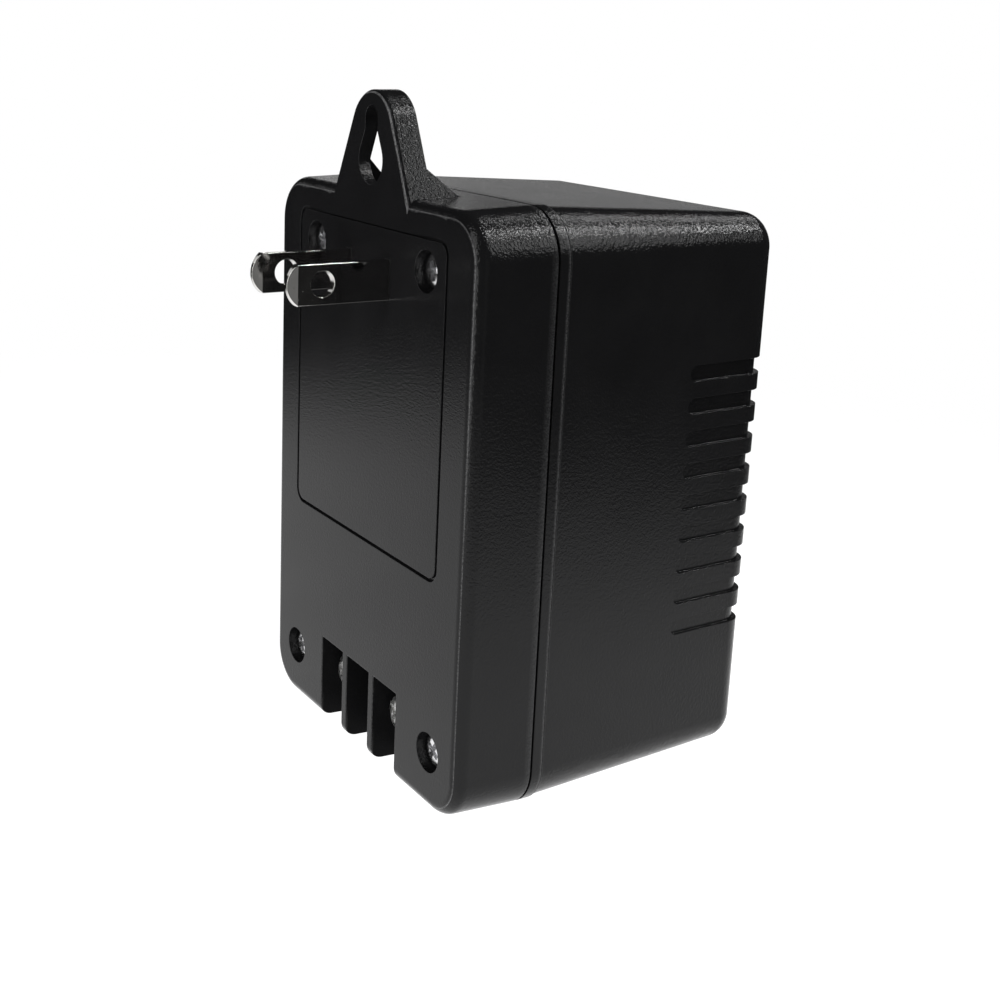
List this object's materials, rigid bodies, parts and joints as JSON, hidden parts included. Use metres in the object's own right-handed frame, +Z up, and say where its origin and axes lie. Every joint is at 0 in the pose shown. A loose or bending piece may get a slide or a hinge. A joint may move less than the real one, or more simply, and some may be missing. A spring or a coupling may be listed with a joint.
{
  "type": "plug-in transformer",
  "caption": "Plug-in wall transformer in a drafted black moulded case with flat blades, a keyhole hanging tab, side grip grooves and a screw terminal recess at its lower edge.",
  "frame": {"origin": "midway between the two blades, on the wall face", "axes": "+Z up towards the hanging tab, +Y from the wall face to the back, +X right as seen facing the blades"},
  "size_m": [0.0654, 0.075, 0.111],
  "materials": {
    "cover_plastic": "fine spark texture",
    "housing_plastic": "fine spark texture",
    "blade_nickel": "nickel plated",
    "screw_zinc": "bright zinc",
    "terminal_nickel": "nickel plated",
    "core_steel": "varnished laminations",
    "bobbin_nylon": "moulded",
    "pin_tin": "tinned",
    "winding_copper": "enamelled wire",
    "tape_yellow": "polyester film",
    "fuse_body": "plain",
    "lead_black": "insulated",
    "lead_red": "insulated"
  },
  "bodies": {
    "root": {"front_cover": "cover_plastic", "rear_housing": "housing_plastic", "left_blade": "blade_nickel", "right_blade": "blade_nickel", "case_screws": "screw_zinc", "terminal_screws": "terminal_nickel", "left_terminal_plate": "terminal_nickel", "right_terminal_plate": "terminal_nickel", "core_e_stack": "core_steel", "core_i_stack": "core_steel", "bobbin": "bobbin_nylon", "bobbin_pins": "pin_tin", "primary_winding": "winding_copper", "secondary_winding": "winding_copper", "primary_tape": "tape_yellow", "secondary_tape": "tape_yellow", "thermal_fuse": "fuse_body", "left_blade_lead": "lead_black", "right_blade_lead": "lead_black", "left_terminal_lead": "lead_red", "right_terminal_lead": "lead_red"}
  },
  "joints": []
}
